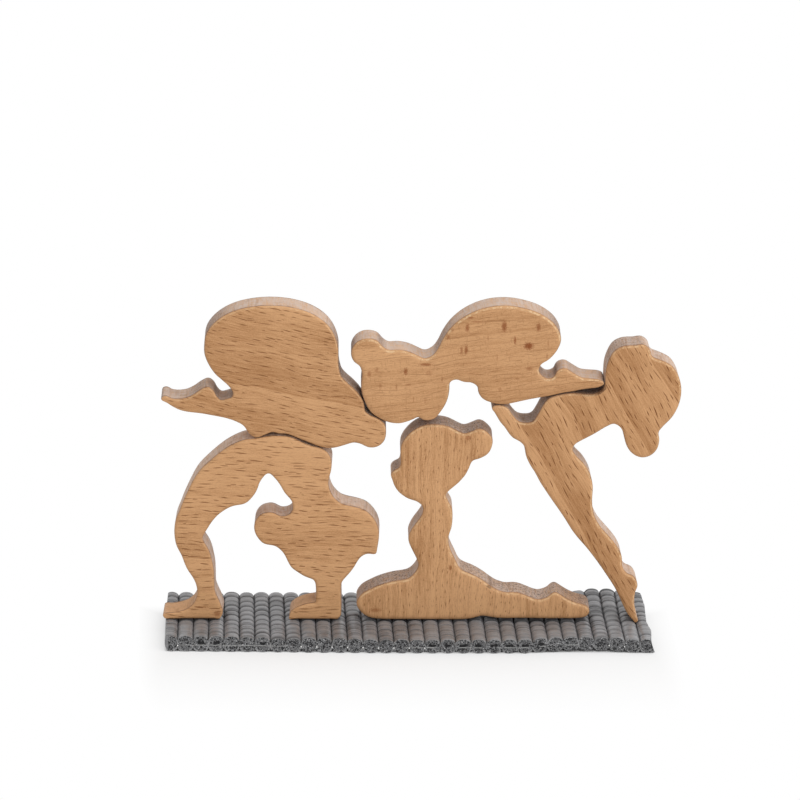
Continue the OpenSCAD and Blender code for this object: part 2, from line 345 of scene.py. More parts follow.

# One look for each figure, where spindle is its own kind of fleck. The fibre angle is in degrees from the
# mat's length, upwards to the right. Stains, smooth places, painted shade and painted light are each a place
# x and z, half its width and height in mm, and its strength: at a smooth place the side shows its plain
# colour, painted shade darkens the side and round where other figures shade them, and painted light makes the
# tone paler or darker where the light falls more or less. The ring is a growth ring's edge across the fibres,
# with its place, the rings' width and the step in tone. Line is the strength of the painted highlight along
# the edges. End and pores say how far end grain and its pores show, and side how pale the sawn side is,
# partly its own paler colour and partly painted sheen and light.
plainLook = {"lines": 0, "ticks": 0, "stains": [], "smooth": [], "paintedShade": [], "paintedLight": []}
figureLooks = {
    "bridge_figure": {
        **plainLook, "fibreAngle": -2.5, "shift": (3, 0, 11), "spindle": (6.2, 2.1, 2.8, 0.27, 0.75),
        "flecks": 0.85, "specks": 0.3, "fibres": 1.15, "bands": 0.8, "bandWidth": 4, "tone": 0.72,
        "line": 0.25, "round": 0.3, "seam": 0.85, "ring": (40, 52, 0.25),
        "stains": [(-77.5, 8.2, 1.6, 1.4, 0.6), (-84, 11, 3, 0.35, 0.6)],
        "smooth": [(-92.5, 11, 12, 9, 0.95), (-45, 13, 9, 7, 0.9)],
        # Its sides are made paler still: painted light, where light from the left and right falls on them.
        "end": 0.3, "pores": 0.2, "side": 1.28},
    "curled_figure": {
        **plainLook, "fibreAngle": -11, "shift": (41, 3, 7), "spindle": (5.4, 2.3, 2.2, 0.25, 0.75),
        "flecks": 0.85, "specks": 0.25, "fibres": 1.15, "bands": 0.7, "bandWidth": 7, "tone": 0.53,
        "line": 0.4, "round": 0.35, "seam": 0.75, "ring": (95, 38, 0.34),
        "end": 1, "pores": 0.75, "side": 1},
    "resting_figure": {
        **plainLook, "fibreAngle": 7.5, "shift": (-17, 5, 31), "spindle": (4.5, 1.6, 1.8, 0.15, 0.5),
        "flecks": 0.5, "specks": 0.35, "lines": 0.5, "ticks": 0.28, "fibres": 0.9, "bands": 0.6,
        "bandWidth": 2, "tone": 0.65, "line": 0.8, "round": 0.35, "seam": 0.5, "ring": (150, 30, 0.2),
        "stains": [(18.4, 124.8, 0.9, 1.9, 0.75), (32.7, 125.5, 1.2, 2.5, 0.85), (46, 125.2, 0.9, 2, 0.75),
                   (37, 119.9, 0.55, 1.7, 0.8), (42.3, 117.7, 2.1, 1.6, 1), (18.1, 116, 0.75, 1.9, 0.8),
                   (16.3, 115.8, 0.6, 1.8, 0.6), (42.7, 108.7, 1.6, 0.9, 0.5), (-5.2, 107.1, 0.9, 1.6, 0.8),
                   (2.6, 110, 2.6, 0.7, 0.75), (22, 127.3, 2.2, 0.4, 0.5), (26.5, 121, 0.3, 1.6, 0.4),
                   (49.5, 113.5, 0.35, 1.5, 0.4), (30.2, 113, 0.3, 1.3, 0.35), (9, 104, 0.35, 1.6, 0.35),
                   (-2, 96, 0.3, 1.4, 0.4), (2.5, 95.4, 0.3, 1.5, 0.35), (38, 104.5, 1.3, 0.5, 0.35),
                   (10.9, 121.3, 0.9, 1.3, 0.6), (12.5, 124, 0.8, 0.8, 0.6), (19.4, 128.9, 1.9, 0.5, 0.7),
                   (-19.3, 106, 0.9, 1.4, 0.5), (-16.5, 107.5, 0.8, 1, 0.4), (3.9, 106.5, 1.6, 1.2, 0.3),
                   (-15, 101.2, 0.5, 1.4, 0.35), (-8.7, 100.7, 0.4, 1.6, 0.35), (-4.3, 101.8, 1.2, 0.6, 0.3),
                   (31.5, 100.2, 0.7, 0.8, 0.4), (49.9, 118.8, 0.4, 1.4, 0.4)],
        "end": 1, "pores": 0.75, "side": 0.97},
    "seated_figure": {
        **plainLook, "fibreAngle": 90, "shift": (7, 2, -23), "spindle": (4.2, 1.9, 0.85, 0.26, 0.55),
        "flecks": 0.65, "specks": 0.4, "lines": 0.4, "ticks": 0.12, "fibres": 1.15, "bands": 1.1,
        "bandWidth": 2.2, "tone": 0.67, "line": 0.65, "round": 0.4, "seam": 0.5, "ring": (60, 26, 0.15),
        "stains": [(19.5, 80.5, 1.3, 1.2, 0.5), (22, 71, 1, 1.6, 0.4), (-15.5, 10, 2.6, 1, 0.5),
                   (13.5, 27.5, 0.7, 1.3, 0.7), (19, 67, 1.3, 0.6, 0.5), (-9, 72, 2.2, 0.5, 0.4)],
        "smooth": [(62, 14, 6, 6, 0.6)],
        "paintedShade": [(28.8, 19.6, 1.7, 0.9, 0.6), (3.5, 87, 5, 3, 0.25), (-9, 70, 2.5, 4, 0.25)],
        # Painted light: paler low on the thigh, where less light reaches near the mat, and darker on the
        # head.
        "paintedLight": [(15, 10, 40, 15, 0.13), (8, 78, 24, 16, -0.07)],
        "end": 0.4, "pores": 0.85, "side": 1.05},
    "toe_stand_figure": {
        **plainLook, "fibreAngle": -60, "shift": (13, 6, 3), "spindle": (6.6, 2.5, 2.5, 0.25, 0.75),
        "flecks": 1, "specks": 0.2, "fibres": 1, "bands": 0.55, "bandWidth": 3.5, "tone": 0.51,
        "line": 0.55, "round": 0.3, "seam": 0.6, "ring": (82, 19, 0.35),
        "paintedShade": [(67, 100, 8.5, 2.4, 1)], "end": 0.6, "pores": 0.6, "side": 1.05},
}


def fleckMask(board, kind, crosswise=False):
    if crosswise:
        x, y, z = parts(board)
        board = vectorOf(z, y, x)
    names = ("Step Along", "Step Across", "Half Length", "Half Width", "Amount")
    return placeGroup(rayFlecks, {"Board": board, **dict(zip(names, kind))})["Mask"]


def beechMaterial(node, look):
    material, shader, place = newMaterial("Beech " + node.replace("_", " "))
    tree = material.node_tree
    normal = addNode(tree, "ShaderNodeTexCoord").outputs["Normal"]
    angle = math.radians(look["fibreAngle"])
    board = addNode(tree, "ShaderNodeMapping", {
        "Vector": place, "Rotation": (0, angle, 0), "Location": look["shift"]}).outputs[0]
    waver = addNode(tree, "ShaderNodeTexNoise", {"Vector": board, "Scale": 0.05, "Detail": 1.0})
    board = vectorCalc("ADD", board, vectorCalc("MULTIPLY", waver.outputs["Color"], beech["waver"]))
    fibreLength, fibreWidth = beech["fibre"]
    grain = placeGroup(woodGrain, {"Board": board, "Fibre Length": fibreLength, "Fibre Width": fibreWidth,
                                   "Band Width": look["bandWidth"]})
    edge = placeGroup(sandedEdge, {"Place": place, "Normal": normal, "Radius": sawnBoard["edgeDepth"] / mm})
    ends = placeGroup(endGrain, {"Place": place, "Normal": normal,
                                 "Fibre": (math.cos(angle), 0.0, math.sin(angle))})
    drift = placeGroup(toneDrift, {"Place": place, "Size": 25.0, "Grain": 0.5})

    def spotMasks(kind):
        return [placeGroup(raggedSpot, {"Place": place, "Centre": (x, 0, z), "Scale": (1 / wide, 0, 1 / tall),
                                        "Dust": drift["Dust"], "Strength": strength})["Mask"]
                for x, z, wide, tall, strength in look[kind]]

    marks = times(fleckMask(board, look["spindle"]), look["flecks"])
    for kind, sizes in fleckSizes.items():
        if look[kind]:
            mask = fleckMask(board, sizes, crosswise=kind == "ticks")
            marks = calc("MAXIMUM", marks, times(mask, look[kind]))
    marks = times(marks, timesPlus(edge["Side"], -0.7, 0.95))

    ringPlace, ringWidth, ringStep = look["ring"]
    ring = calc("FRACT", timesPlus(parts(board)["Z"], 1 / ringWidth, -ringPlace / ringWidth))
    tone = timesPlus(minus(ring, 0.5), ringStep, look["tone"])
    for value, share in ((grain["Bands"], look["bands"]), (grain["Fibres"], look["fibres"]),
                         (drift["Drift"], 0.5), (drift["Dust"], 0.75)):
        tone = timesPlus(value, share, tone)
    # Painted light: patches that make the tone paler or darker where the light falls more or less.
    for lightShift in spotMasks("paintedLight"):
        tone = plus(tone, lightShift)
    colour = mixColour(ramp(tone, 0.0, 1.0), beech["dark"], beech["light"])
    for blot in spotMasks("stains"):
        colour = mixColour(blot, colour, beech["stain"])

    # Sawn sides: their own paler colour with painted sheen.
    sawnSideSheenShare = times(edge["Side"], timesPlus(edge["Sawn"], 3.2, 0.68))
    for plain in spotMasks("smooth"):
        sawnSideSheenShare = times(sawnSideSheenShare, minus(1.0, plain))
    scorchAndShade = times(edge["Scorch"], look["seam"])
    # Painted shade: dark spots on the sides where other figures shade them.
    for blot in spotMasks("paintedShade"):
        blot = times(blot, calc("MAXIMUM", edge["Side"], edge["Round"]))
        scorchAndShade = calc("MAXIMUM", scorchAndShade, blot)
    sawnSideSheen = tuple(min(look["side"] * part, 1.0) for part in beech["sawnSideSheen"])
    for share, paint in ((sawnSideSheenShare, sawnSideSheen),
                         (times(ends["End"], beech["endShare"] * look["end"]), beech["endTone"]),
                         (times(ends["Pores"], look["pores"]), beech["pore"]),
                         (marks, beech["fleck"]),
                         (times(edge["Round"], look["round"]), beech["round"]),
                         # Painted highlight along the lit edges.
                         (times(edge["Line"], look["line"]), beech["line"]),
                         (scorchAndShade, beech["scorch"])):
        colour = mixColour(share, colour, paint)

    gloss = timesPlus(grain["Fibres"], 0.12, beech["roughness"])
    gloss = timesPlus(edge["Side"], 0.2, timesPlus(marks, 0.15, gloss))
    height = timesPlus(grain["Fibres"], 0.25, times(marks, -0.8))
    dress(shader, {"Base Color": colour, "Roughness": gloss, "Specular IOR Level": beech["specular"]},
          height, 0.35, 0.05 * mm)
    return material


# Figures: each is rebuilt from its board's own outline, with a finer and softer edge.

sawnBoard = {
    "pointStep": 0.5 * mm,         # distance between points along the outline
    "cornerSoftness": 0.3 * mm,    # how far sanding rounds the outline's corners
    "edgeDepth": 1.1 * mm,         # how deep the sanded round goes into the board's thickness
    "edgeWander": 0.2,             # share by which the sanded radius wanders
    "wanderStep": 9 * mm,
    "roundSteps": 6,
    "roundShare": 0.7,             # the most of the room to the board's middle line that the round takes
    "roundSoftness": 0.6 * mm,
    "flatRim": 0.35 * mm,          # flat ring round each face, inside the rounded edge
    "rimShare": 0.8,
    "sideSteps": 5,
    "seed": 11,
    "fullness": 0.28 * mm,         # how far the worn outline stands out past the frame's
    "fullSoftness": 1.0 * mm,
    "leastGap": 0.45 * mm,         # kept between two figures where the outline stands out
    "soleHeight": 9 * mm,          # undersides below this height keep the frame's level
    "soleFade": 3 * mm,
    "matGap": 0.13 * mm,           # the least height of an underside above the cords
}

# Each figure's own shape. A board leans a little as it is sawn: turn is the angle in degrees by which its
# back lies to the right of its front. Inset is how far the sanded round reaches in from the outline in mm,
# and wider holds places x and z with a reach where it goes further, by a factor. Nudges are small
# corrections to the outline: place x and z, reach, and shift in x and z, all in mm.
figureShapes = {
    "bridge_figure": {
        "turn": 2.7, "inset": 1.15, "wider": [(-92, 11, 9, 1.7), (-45, 13, 6, 1.5)],
        "nudges": [(-58.5, 38, 5, -0.4, -0.7), (-90, 59, 7, 0.6, -0.4), (-80, 24, 8, 0.7, 0),
                   (-91, 30, 8, -0.4, 0), (-98.5, 8.5, 4, -0.7, 0.1), (-94.5, 52, 5, 0.5, 0),
                   (-92.1, 50.1, 3, 0.2, 0), (-94.3, 41.9, 4, 0.26, 0), (-16.5, 50.9, 4, -0.42, 0),
                   (-79.3, 34.3, 4, 0.28, 0), (-91.8, 32.2, 3, 0.33, 0), (-89.3, 26.1, 3, -0.24, 0),
                   (-67, 54.2, 4, 0.05, -0.3), (-49.3, 28.2, 3, -0.18, -0.23),
                   (-16.9, 33.1, 3, 0.13, -0.42), (-98.5, 13, 2.5, 0.6, 0), (-30, 7, 2.2, 0.9, 0)]},
    "curled_figure": {
        "turn": 1.6, "inset": 1.15, "wider": [],
        "nudges": [(-32.6, 123.5, 4, -0.2, 0), (-83.6, 117.2, 3, 0.32, 0), (-84.8, 90, 4, 0, 0.27),
                   (-99.9, 97.9, 3, 0.19, 0), (-54.9, 82.3, 4, 0, 0.6), (-43, 79.2, 5, 0.1, 0.6),
                   (-19.9, 91.4, 2.5, -0.45, -0.45)]},
    "resting_figure": {
        "turn": 1.6, "inset": 2.0, "wider": [],
        "nudges": [(3.3, 86.5, 2.5, 0, 0.6), (70, 97.5, 3, 0.2, 0), (-26.7, 115.6, 4, 0.33, 0)]},
    "seated_figure": {
        "turn": 1.4, "inset": 1.9, "wider": [],
        "nudges": [(67.5, 9.5, 4, 0.3, 0), (-9, 68, 5, 0.55, 0), (37, 20, 6, 0, 0.3), (-12, 21, 9, 0, -0.45),
                   (44.5, 15.7, 11, 0, -0.7), (28.7, 77.5, 3, -0.24, 0), (13, 41, 8, -0.7, 0),
                   (12.5, 60, 4, 0.3, 0)]},
    "toe_stand_figure": {
        "turn": 0.2, "inset": 1.6, "wider": [],
        "nudges": [(68, 84.5, 5, 0.1, -0.2), (28.5, 94, 3, 0.4, 0), (74.5, 42, 9, -0.65, 0),
                   (33.9, 84.2, 3, 0.4, 0.3), (45.9, 66, 3, 0.22, 0.16), (80.1, 32.9, 3, 0.27, 0),
                   (86.4, 22.7, 3, -0.24, 0), (83.9, 74.3, 3, 0.07, 0.25)]},
}


def boardOutline(node):
    # The widest ring of the board, in order and clockwise from the front, as rows of x and z.
    work = bmesh.new()
    work.from_mesh(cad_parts[node].data)
    bmesh.ops.remove_doubles(work, verts=work.verts, dist=0.001 * mm)
    level = min(abs(v.co.y) for v in work.verts)
    ring = {v for v in work.verts if abs(v.co.y + level) < 0.01 * mm}
    first = min(ring, key=lambda v: (v.co.x, v.co.z))
    walk = [first]
    before = None
    while True:
        here = walk[-1]
        near = [e.other_vert(here) for e in here.link_edges if e.other_vert(here) in ring]
        near = [v for v in near if v is not before]
        before = here
        if near[0] is first or len(walk) > 1 and first in near:
            break
        walk.append(near[0])
    line = np.array([(v.co.x, v.co.z) for v in walk])
    work.free()
    ahead = np.roll(line, -1, axis=0)
    area = (line[:, 0] * ahead[:, 1] - ahead[:, 0] * line[:, 1]).sum()
    return line if area < 0 else line[::-1]


def evenLine(line, step):
    closed = np.vstack([line, line[:1]])
    run = np.concatenate([[0.0], np.cumsum(np.linalg.norm(np.diff(closed, axis=0), axis=1))])
    marks = np.linspace(0.0, run[-1], max(8, int(round(run[-1] / step))) + 1)[:-1]
    return np.column_stack([np.interp(marks, run, closed[:, k]) for k in (0, 1)])


def curvedLine(line, sharpTurn=30, steps=8):
    # Cubic arcs between the points, so that the outline's facets vanish. Sharp turns in degrees stay.
    ahead = np.roll(line, -1, axis=0) - line
    length = np.linalg.norm(ahead, axis=1)
    unit = ahead / length[:, None]
    back, backLength = np.roll(unit, 1, axis=0), np.roll(length, 1)
    heading = back * length[:, None] + unit * backLength[:, None]
    heading /= np.linalg.norm(heading, axis=1)[:, None]
    sharp = (back * unit).sum(1) < math.cos(math.radians(sharpTurn))
    leaving = np.where(sharp[:, None], unit, heading)
    arriving = np.roll(np.where(sharp[:, None], back, heading), -1, axis=0)
    end = np.roll(line, -1, axis=0)
    out = []
    for t in np.linspace(0, 1, steps + 1)[:-1]:
        h00, h10 = 2 * t**3 - 3 * t**2 + 1, t**3 - 2 * t**2 + t
        h01, h11 = -2 * t**3 + 3 * t**2, t**3 - t**2
        out.append(h00 * line + h01 * end + (h10 * leaving + h11 * arriving) * length[:, None])
    return np.stack(out, axis=1).reshape(-1, 2)


def softened(line, step, reach):
    count = int(math.ceil(3 * reach / step))
    weights = np.exp(-0.5 * (np.arange(-count, count + 1) * step / reach) ** 2)
    weights /= weights.sum()
    return sum(w * np.roll(line, k, axis=0) for k, w in zip(range(-count, count + 1), weights))


def leastNear(values):
    # The least value among each point and the two beside it on either hand.
    return np.minimum.reduce([np.roll(values, k) for k in range(-2, 3)])


def inwardOf(line):
    along = np.roll(line, -1, axis=0) - np.roll(line, 1, axis=0)
    along /= np.linalg.norm(along, axis=1)[:, None]
    return np.column_stack([along[:, 1], -along[:, 0]])


def roomAt(line, inward):
    # Radius of the largest circle inside the outline that touches it at each point.
    gap = line[None, :, :] - line[:, None, :]
    toward = (gap * inward[:, None, :]).sum(2)
    size = (gap ** 2).sum(2)
    radius = np.where(toward > 1e-7, size / np.maximum(2 * toward, 1e-12), 1.0)
    return radius.min(axis=1)


def closeness(line, x, z, reach):
    # 1 at the place, fading out with the distance from it.
    return np.exp(-((line - (x * mm, z * mm)) ** 2).sum(1) / (reach * mm) ** 2)


def wander(count, knots, seed):
    # Smooth closed noise between -1 and 1.
    values = np.random.default_rng(seed).uniform(-1, 1, knots)
    t = np.arange(count) * knots / count
    low = t.astype(int) % knots
    blend = (1 - np.cos((t - np.floor(t)) * math.pi)) / 2
    return values[low] * (1 - blend) + values[(low + 1) % knots] * blend


def fullerLine(node):
    # The outline stands out a little, but keeps clear of the other figures and of the mat.
    line = smoothLines[node]
    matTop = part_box("mat_foam")[1].z
    others = np.vstack([other for name, other in smoothLines.items() if name != node])
    gap = np.sqrt(((line[:, None, :] - others[None, :, :]) ** 2).sum(2)).min(axis=1)
    grow = np.clip((gap - sawnBoard["leastGap"]) / 2, 0, sawnBoard["fullness"])
    grow = np.minimum(grow, np.clip((line[:, 1] - matTop - 0.1 * mm) / 4, 0, 1))
    grow = softened(leastNear(grow)[:, None], sawnBoard["pointStep"], sawnBoard["fullSoftness"])
    line = line - inwardOf(line) * grow
    for x, z, reach, right, up in figureShapes[node]["nudges"]:
        free = np.clip((line[:, 1] - sawnBoard["soleHeight"]) / sawnBoard["soleFade"], 0, 1)
        shift = np.column_stack([np.full(len(line), right * mm), up * mm * free])
        line = line + closeness(line, x, z, reach)[:, None] * shift
    lowest = min(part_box(node)[0].z, matTop + sawnBoard["matGap"])
    return np.column_stack([line[:, 0], np.maximum(line[:, 1], lowest)])


def figurePiece(node, seed):
    low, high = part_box(node)
    half = (high.y - low.y) / 2
    step, roundSteps, sideSteps = (sawnBoard[key] for key in ("pointStep", "roundSteps", "sideSteps"))
    line = fullerLine(node)
    count = len(line)
    inward = inwardOf(line)
    room = roomAt(line, inward)
    shape = figureShapes[node]
    waves = wander(count, int(count * step / sawnBoard["wanderStep"]), seed)
    radius = shape["inset"] * mm * (1 + sawnBoard["edgeWander"] * waves)
    for x, z, reach, factor in shape["wider"]:
        radius = radius * (1 + (factor - 1) * closeness(line, x, z, reach))
    radius = np.minimum(radius, sawnBoard["roundShare"] * room)
    radius = softened(leastNear(radius)[:, None], step, sawnBoard["roundSoftness"])[:, 0]
    rim = np.minimum(radius + sawnBoard["flatRim"], sawnBoard["rimShare"] * room)
    rim = np.maximum(rim, radius * 1.02)

    depth = np.minimum(radius, sawnBoard["edgeDepth"])
    rings = [(rim, np.full(count, -half))]   # each ring's inset and place behind the middle
    for k in range(roundSteps, -1, -1):
        angle = math.radians(90 * k / roundSteps)
        rings.append((radius * (1 - math.cos(angle)), -half + depth * (1 - math.sin(angle))))
    for k in range(1, sideSteps):
        rings.append((np.zeros(count), (-half + depth) * (1 - 2 * k / sideSteps)))
    rings += [(inset, -behind) for inset, behind in reversed(rings[:roundSteps + 2])]

    points = []
    for inset, behind in rings:
        flat = line + inward * inset[:, None]
        lean = math.tan(math.radians(shape["turn"])) * (behind + half)
        points.append(np.column_stack([flat[:, 0] + lean, behind, flat[:, 1]]))
    points = np.vstack(points)
    here = np.arange(count)
    after = (here + 1) % count
    faces = []
    for a in range(0, (len(rings) - 1) * count, count):
        b = a + count
        faces += np.column_stack([a + here, b + here, b + after, a + after]).tolist()
    banded = len(faces)
    front = tessellate_polygon([[Vector((p[0], p[2], 0.0)) for p in points[:count]]])
    last = (len(rings) - 1) * count
    faces += [list(t) for t in front]
    faces += [[i + last for i in reversed(t)] for t in front]

    mesh = bpy.data.meshes.new(node)
    mesh.from_pydata(points.tolist(), [], faces)
    faceOutward(mesh)
    mesh.polygons.foreach_set("use_smooth", [i < banded for i in range(len(mesh.polygons))])
    mesh.update()
    return newPiece(node.replace("_figure", "_wood"), mesh, beechMaterial(node, figureLooks[node]))


smoothLines = {node: softened(evenLine(curvedLine(boardOutline(node)), sawnBoard["pointStep"]),
                              sawnBoard["pointStep"], sawnBoard["cornerSoftness"]) for node in figureShapes}
for number, node in enumerate(figureShapes):
    figure = figurePiece(node, sawnBoard["seed"] + number)
    body = node.replace("_figure", "")
    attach(figure, body)
    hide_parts(node)
print("figures sawn and sanded")


# Foam

foam = {
    "skin": (0.25, 0.249, 0.256),
    "skinDark": (0.045, 0.045, 0.048),
    # Painted highlight along the top edge of the cut, where the corner of the skin catches the light.
    "rim": (0.34, 0.34, 0.34),     # the thin pale border where the skin is cut
    "wall": (0.72, 0.72, 0.727),
    "cut": (0.088, 0.088, 0.091),
    # Painted shade inside the pores, voids and tears of the cut.
    "pore": (0.006, 0.006, 0.007),
    "roughness": 0.38,
    "cutRoughness": 0.75,
}


def foamSkinMaterial():
    material, shader, place = newMaterial("Foam skin")
    drift = placeGroup(toneDrift, {"Place": place, "Size": 9.0, "Grain": 0.3})
    foldShade, rim = (painted(material.node_tree, name) for name in ("foldShade", "rim"))
    tone = timesPlus(drift["Drift"], 0.9, timesPlus(drift["Dust"], 0.9, 0.74))
    # Painted shade: darker in the creases of the folds, along the grooves and at the right back.
    tone = timesPlus(foldShade, -1.25, tone)
    colour = mixColour(ramp(tone, 0.0, 1.0), foam["skinDark"], foam["skin"])
    # Painted highlight along the cut's top edge.
    rim = times(rim, timesPlus(drift["Dust"], 2.0, 0.7))
    colour = mixColour(rim, colour, foam["rim"])
    gloss = timesPlus(drift["Dust"], 0.25, foam["roughness"])
    dress(shader, {"Base Color": colour, "Roughness": gloss}, drift["Dust"], 0.4, 0.08 * mm)
    return material


def foamCutMaterial():
    # Open cells with pale walls, denser in each cord's core than near its skin. The pores, voids and tears
    # are painted near black: painted shade in their hollows.
    material, shader, place = newMaterial("Cut foam")
    tree = material.node_tree
    part = parts(place)
    cordPlace = calc("FRACT", timesPlus(part["X"], mm / mat["cord"], 0.5))
    core = vectorCalc("LENGTH", vectorOf(times(minus(cordPlace, 0.5), 2.2), 0.0,
                                         timesPlus(part["Z"], 0.36, -1.15)))
    cells = addNode(tree, "ShaderNodeTexVoronoi", {"Vector": place, "Scale": 1.7}, feature="DISTANCE_TO_EDGE")
    pores = addNode(tree, "ShaderNodeTexVoronoi", {"Vector": place, "Scale": 1.3}).outputs
    chance = addNode(tree, "ShaderNodeSeparateColor", {0: pores["Color"]}).outputs[0]
    size = times(timesPlus(chance, 0.44, 0.2), ramp(core, 0.25, 1.0, 1.0, 0.85))
    hollow = calc("MAXIMUM", ramp(minus(size, pores["Distance"]), -0.02, 0.05),
                  ramp(painted(tree, "pitShade"), 0.4, 0.8))
    wall = ramp(cells.outputs["Distance"], 0.02, 0.16, 1.0, 0.0)
    drift = placeGroup(toneDrift, {"Place": place, "Size": 6.0, "Grain": 0.4})
    share = calc("MAXIMUM", ramp(core, 0.98, 1.1, 0.0, 0.2),
                 times(wall, ramp(drift["Dust"], -0.05, 0.2)))
    colour = mixColour(share, foam["cut"], foam["wall"])
    # Painted shade in the hollows.
    colour = mixColour(times(hollow, 0.97), colour, foam["pore"])
    height = minus(times(wall, 0.4), hollow)
    dress(shader, {"Base Color": colour, "Roughness": foam["cutRoughness"]}, height, 0.7, 0.2 * mm)
    return material


mat = {
    "cord": 6.0 * mm,              # spacing of the cords; the frame stands under the middle of one
    "lobeHeight": 1.9 * mm,        # from a cord's crest down to the groove beside it
    "underHeight": 1.7 * mm,       # the same underneath
    "fullness": 2.3,               # 2 makes round cords, more makes fuller ones with narrower grooves
    "across": 10,                  # points from a cord's crest to its groove
    "rowStep": 0.4 * mm,
    "foldStep": 6.0 * mm,          # the folds lie over the weft threads
    "foldStart": -0.4 * mm,
    "foldStray": 0.8 * mm,
    "foldDepth": 1.15 * mm,
    "fineStep": (1.4 * mm, 3.8 * mm),
    "fineDepth": 0.6 * mm,
    "fineCount": 60,
    "seed": 500,
    "beadSway": 0.5 * mm,          # how far the grooves wander between two pillows
    "faceRows": 20,                # points up a cut face
    "poreCount": 3200,
    "poreRadius": (0.16, 0.36),    # mm, as all lengths of the pits
    "poreHeight": (0.3, 5.6),
    "voidCount": 90,
    "voidReach": 190,
    "voidRadius": (0.25, 0.45),
    "voidHeight": (3.3, 0.5),      # mean and spread
    "tornCords": (-14, -13, -10, 1, 2, 3, 4, 5, 6, 7, 8),  # their foam is torn over the net in front
    "tornPlaces": (-0.9, -0.3, 0.3, 0.9),
    "tornRadius": (0.5, 0.75),
    "tornHeight": (3.1, 0.1),
    "pitSeed": 5,
    "cutRound": 0.12 * mm,
    "skinnedEnd": 1.3 * mm,        # the left end is a cord's own skin, not a cut face
}

# How the real piece was cut and lies: shifts in mm at places in mm along its length.
matShape = {
    "backEdge": ((-98, -45, 20, 84, 92), (-0.7, -0.9, 0.3, 0.3, -0.9)),
    "frontEdge": ((-98, -65, -30, -14, 3, 30, 43, 49, 56, 62, 74, 79, 85, 92),
                  (0.3, -0.4, -1.2, -1.38, -1.38, -1.3, -1.1, 0.1, 1.0, 1.5, 1.7, 0.8, 0.1, 0.0)),
    "frontSlant": ((-98, -40, -30, -14, 92), (2.2, 2.2, 1.6, 0, 0)),
    "frontLift": ((-98, 42, 50, 58, 74, 80, 86, 92), (0, 0.1, 0.4, 0.55, 0.55, 0.35, 0.15, 0.1)),
    "backLift": ((-98, 20, 40, 56, 65.5, 70, 76, 84.5, 86.3, 88.3, 90, 92),
                 (0, 0, 0.45, 0.55, 0.85, 1.65, 1.65, 1.5, 0.25, 0.25, 0.5, 0.5)),
    "lean": ((-98, -66, -50, 84, 92), (0.5, 0.4, 0, 0, -0.35)),
    "leftSkin": 1.1,
    "leftLean": 1.3,
    "leftFoot": 2.0,               # how far the left end draws in at its bottom
    "rightEdge": ((-30, -26, -18, -7, 3.5, 14, 25, 30), (-0.3, -0.05, 0.5, -0.5, 0, 0.5, 0.25, 0.1)),
    "rightSplay": 1.5,             # how far the front right corner spreads at its bottom
    "leftReach": 3.0,              # mm over which the shifts of the left and right ends fade out
    "rightReach": 4.0,
    "frontReach": 0.5,             # shares of the mat's depth over which the other shifts fade out
    "frontLiftReach": 0.37,
    "backLiftReach": 0.38,
}


def settled(points):
    # Points of a square, flat mat, moved to the piece as it was cut and lies.
    x, y, z = (points[..., axis] / mm for axis in range(3))
    low, high = (np.array(corner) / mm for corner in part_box("mat_foam"))
    ahead = np.clip((y - low[1]) / (high[1] - low[1]), 0, 1)
    rise = z / high[2]

    def along(name):
        return np.interp(x, *matShape[name])

    front = np.clip(1 - ahead / matShape["frontReach"], 0, 1)
    newY = y + along("backEdge") * ahead ** 2 + (along("frontEdge") + along("frontSlant") * rise) * front ** 2
    leftEnd = np.clip(1 - (x - low[0]) / matShape["leftReach"], 0, 1)
    rightEnd = np.clip(1 - (high[0] - x) / matShape["rightReach"], 0, 1)
    newX = x + along("lean") * ahead
    newX = newX + leftEnd * (matShape["leftSkin"] * (1 - ahead) * rise ** 1.6 - 0.6
                             + matShape["leftLean"] * ahead ** 2 + matShape["leftFoot"] * (1 - rise) ** 3)
    newX = newX + rightEnd * (np.interp(y, *matShape["rightEdge"]) - 0.3
                              + matShape["rightSplay"] * (1 - 1.5 * rise) * np.clip(1 - ahead / 0.12, 0, 1))
    newZ = z + along("frontLift") * np.clip(1 - ahead / matShape["frontLiftReach"], 0, 1) ** 1.2
    newZ = newZ + along("backLift") * np.clip(1 - (1 - ahead) / matShape["backLiftReach"], 0, 1) ** 1.2
    return np.stack([newX, newY, newZ], axis=-1) * mm


def pillows(y, folds, strengths):
    # 0 in a fold, up to 1 on the pillow between two folds.
    slot = np.clip(np.searchsorted(folds, y) - 1, 0, len(folds) - 2)
    t = (y - folds[slot]) / (folds[slot + 1] - folds[slot])
    arch = np.sqrt(np.clip(1 - np.abs(2 * t - 1) ** 3, 0, 1))
    depth = strengths[slot] * (1 - t) + strengths[slot + 1] * t
    return 1 - (1 - arch) * depth


def cordFolds(number, front, back):
    # Main folds in line with those of the other cords, and fine ones at random.
    rng = np.random.default_rng(mat["seed"] + number)
    count = int((back - front) / mat["foldStep"]) + 4
    main = (np.arange(count) - count // 2) * mat["foldStep"] + mat["foldStart"]
    main = main + rng.uniform(-1, 1, count) * mat["foldStray"]
    fine = front - mat["fineStep"][1] + np.cumsum(rng.uniform(*mat["fineStep"], mat["fineCount"]))
    return main, rng.uniform(0.45, 1.0, count), fine, rng.uniform(0.0, 1.0, mat["fineCount"])


def between(value, start, reach):
    # From 0 at the start, given in mm, up to 1 after the reach.
    return np.clip((value / mm - start) / reach, 0, 1)


def foldStrength(x, y):
    # Folds show most where the mat lies open, and less along the front in the middle.
    openPart = between(-x, 42, 6) * between(x, -78, 5)
    rightEnd = between(x, 66, 8)
    behind = between(y, -14, 6) * (1 - 0.45 * rightEnd)
    return 0.4 + 0.6 * np.clip(openPart + behind + 0.15 * rightEnd, 0, 1)


def gridFaces(at, flip=False):
    a, b, c, d = at[:-1, :-1].ravel(), at[1:, :-1].ravel(), at[1:, 1:].ravel(), at[:-1, 1:].ravel()
    return np.column_stack([a, d, c, b] if flip else [a, b, c, d]).tolist()


